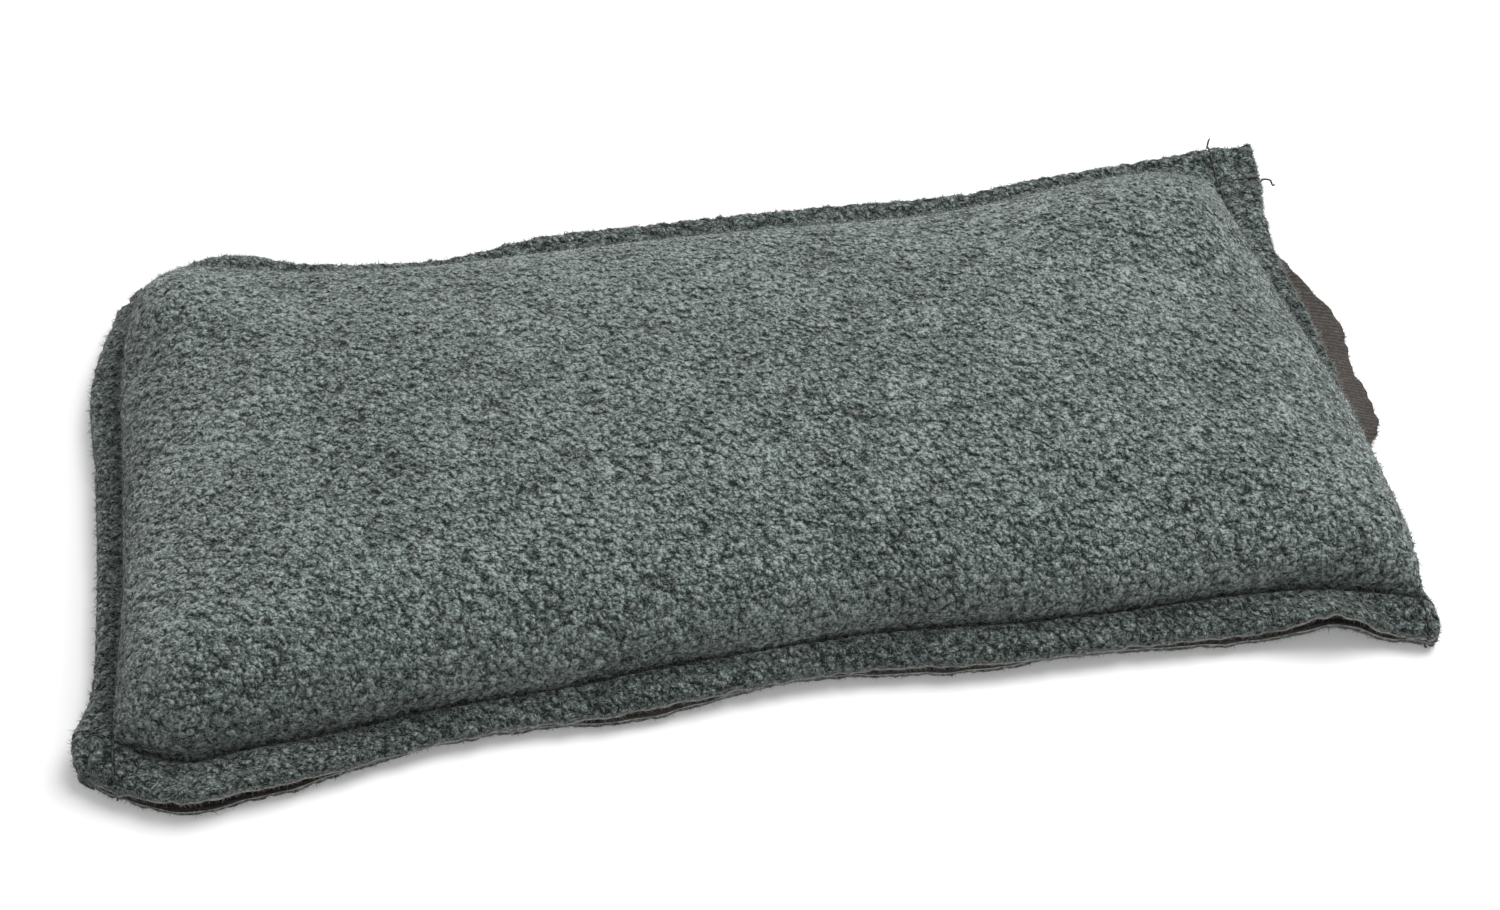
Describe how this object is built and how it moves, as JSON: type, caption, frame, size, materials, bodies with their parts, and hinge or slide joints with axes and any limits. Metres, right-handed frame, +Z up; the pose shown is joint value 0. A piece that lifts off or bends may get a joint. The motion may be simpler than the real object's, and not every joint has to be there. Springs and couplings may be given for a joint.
{
  "type": "eye pillow",
  "caption": "Fleece eye pillow: folded strip closed by straight seams with a flange all round, over a cotton bag of seed.",
  "frame": {"origin": "on the surface that the pad lies on, under the middle of its outline", "axes": "+X along the pad from the folded end to the raw end, +Y from front to back, +Z up through its thickness"},
  "size_m": [0.242, 0.13, 0.026],
  "materials": {
    "fleece": "heather charcoal fleece, brushed pile, matte",
    "cover_thread": "black spun polyester sewing thread",
    "cotton": "unbleached plain-weave cotton",
    "bag_thread": "natural cotton sewing thread",
    "seed": "smooth brown flax seed"
  },
  "bodies": {
    "root": {"fleece_cover": "fleece", "front_seam_needle_thread": "cover_thread", "front_seam_bobbin_thread": "cover_thread", "back_seam_needle_thread": "cover_thread", "back_seam_bobbin_thread": "cover_thread", "left_seam_needle_thread": "cover_thread", "left_seam_bobbin_thread": "cover_thread", "right_seam_needle_thread": "cover_thread", "right_seam_bobbin_thread": "cover_thread", "inner_bag": "cotton", "bag_front_seam_needle_thread": "bag_thread", "bag_front_seam_bobbin_thread": "bag_thread", "bag_back_seam_needle_thread": "bag_thread", "bag_back_seam_bobbin_thread": "bag_thread", "bag_end_seam_needle_thread": "bag_thread", "bag_end_seam_bobbin_thread": "bag_thread", "seed_fill": "seed"}
  },
  "joints": []
}
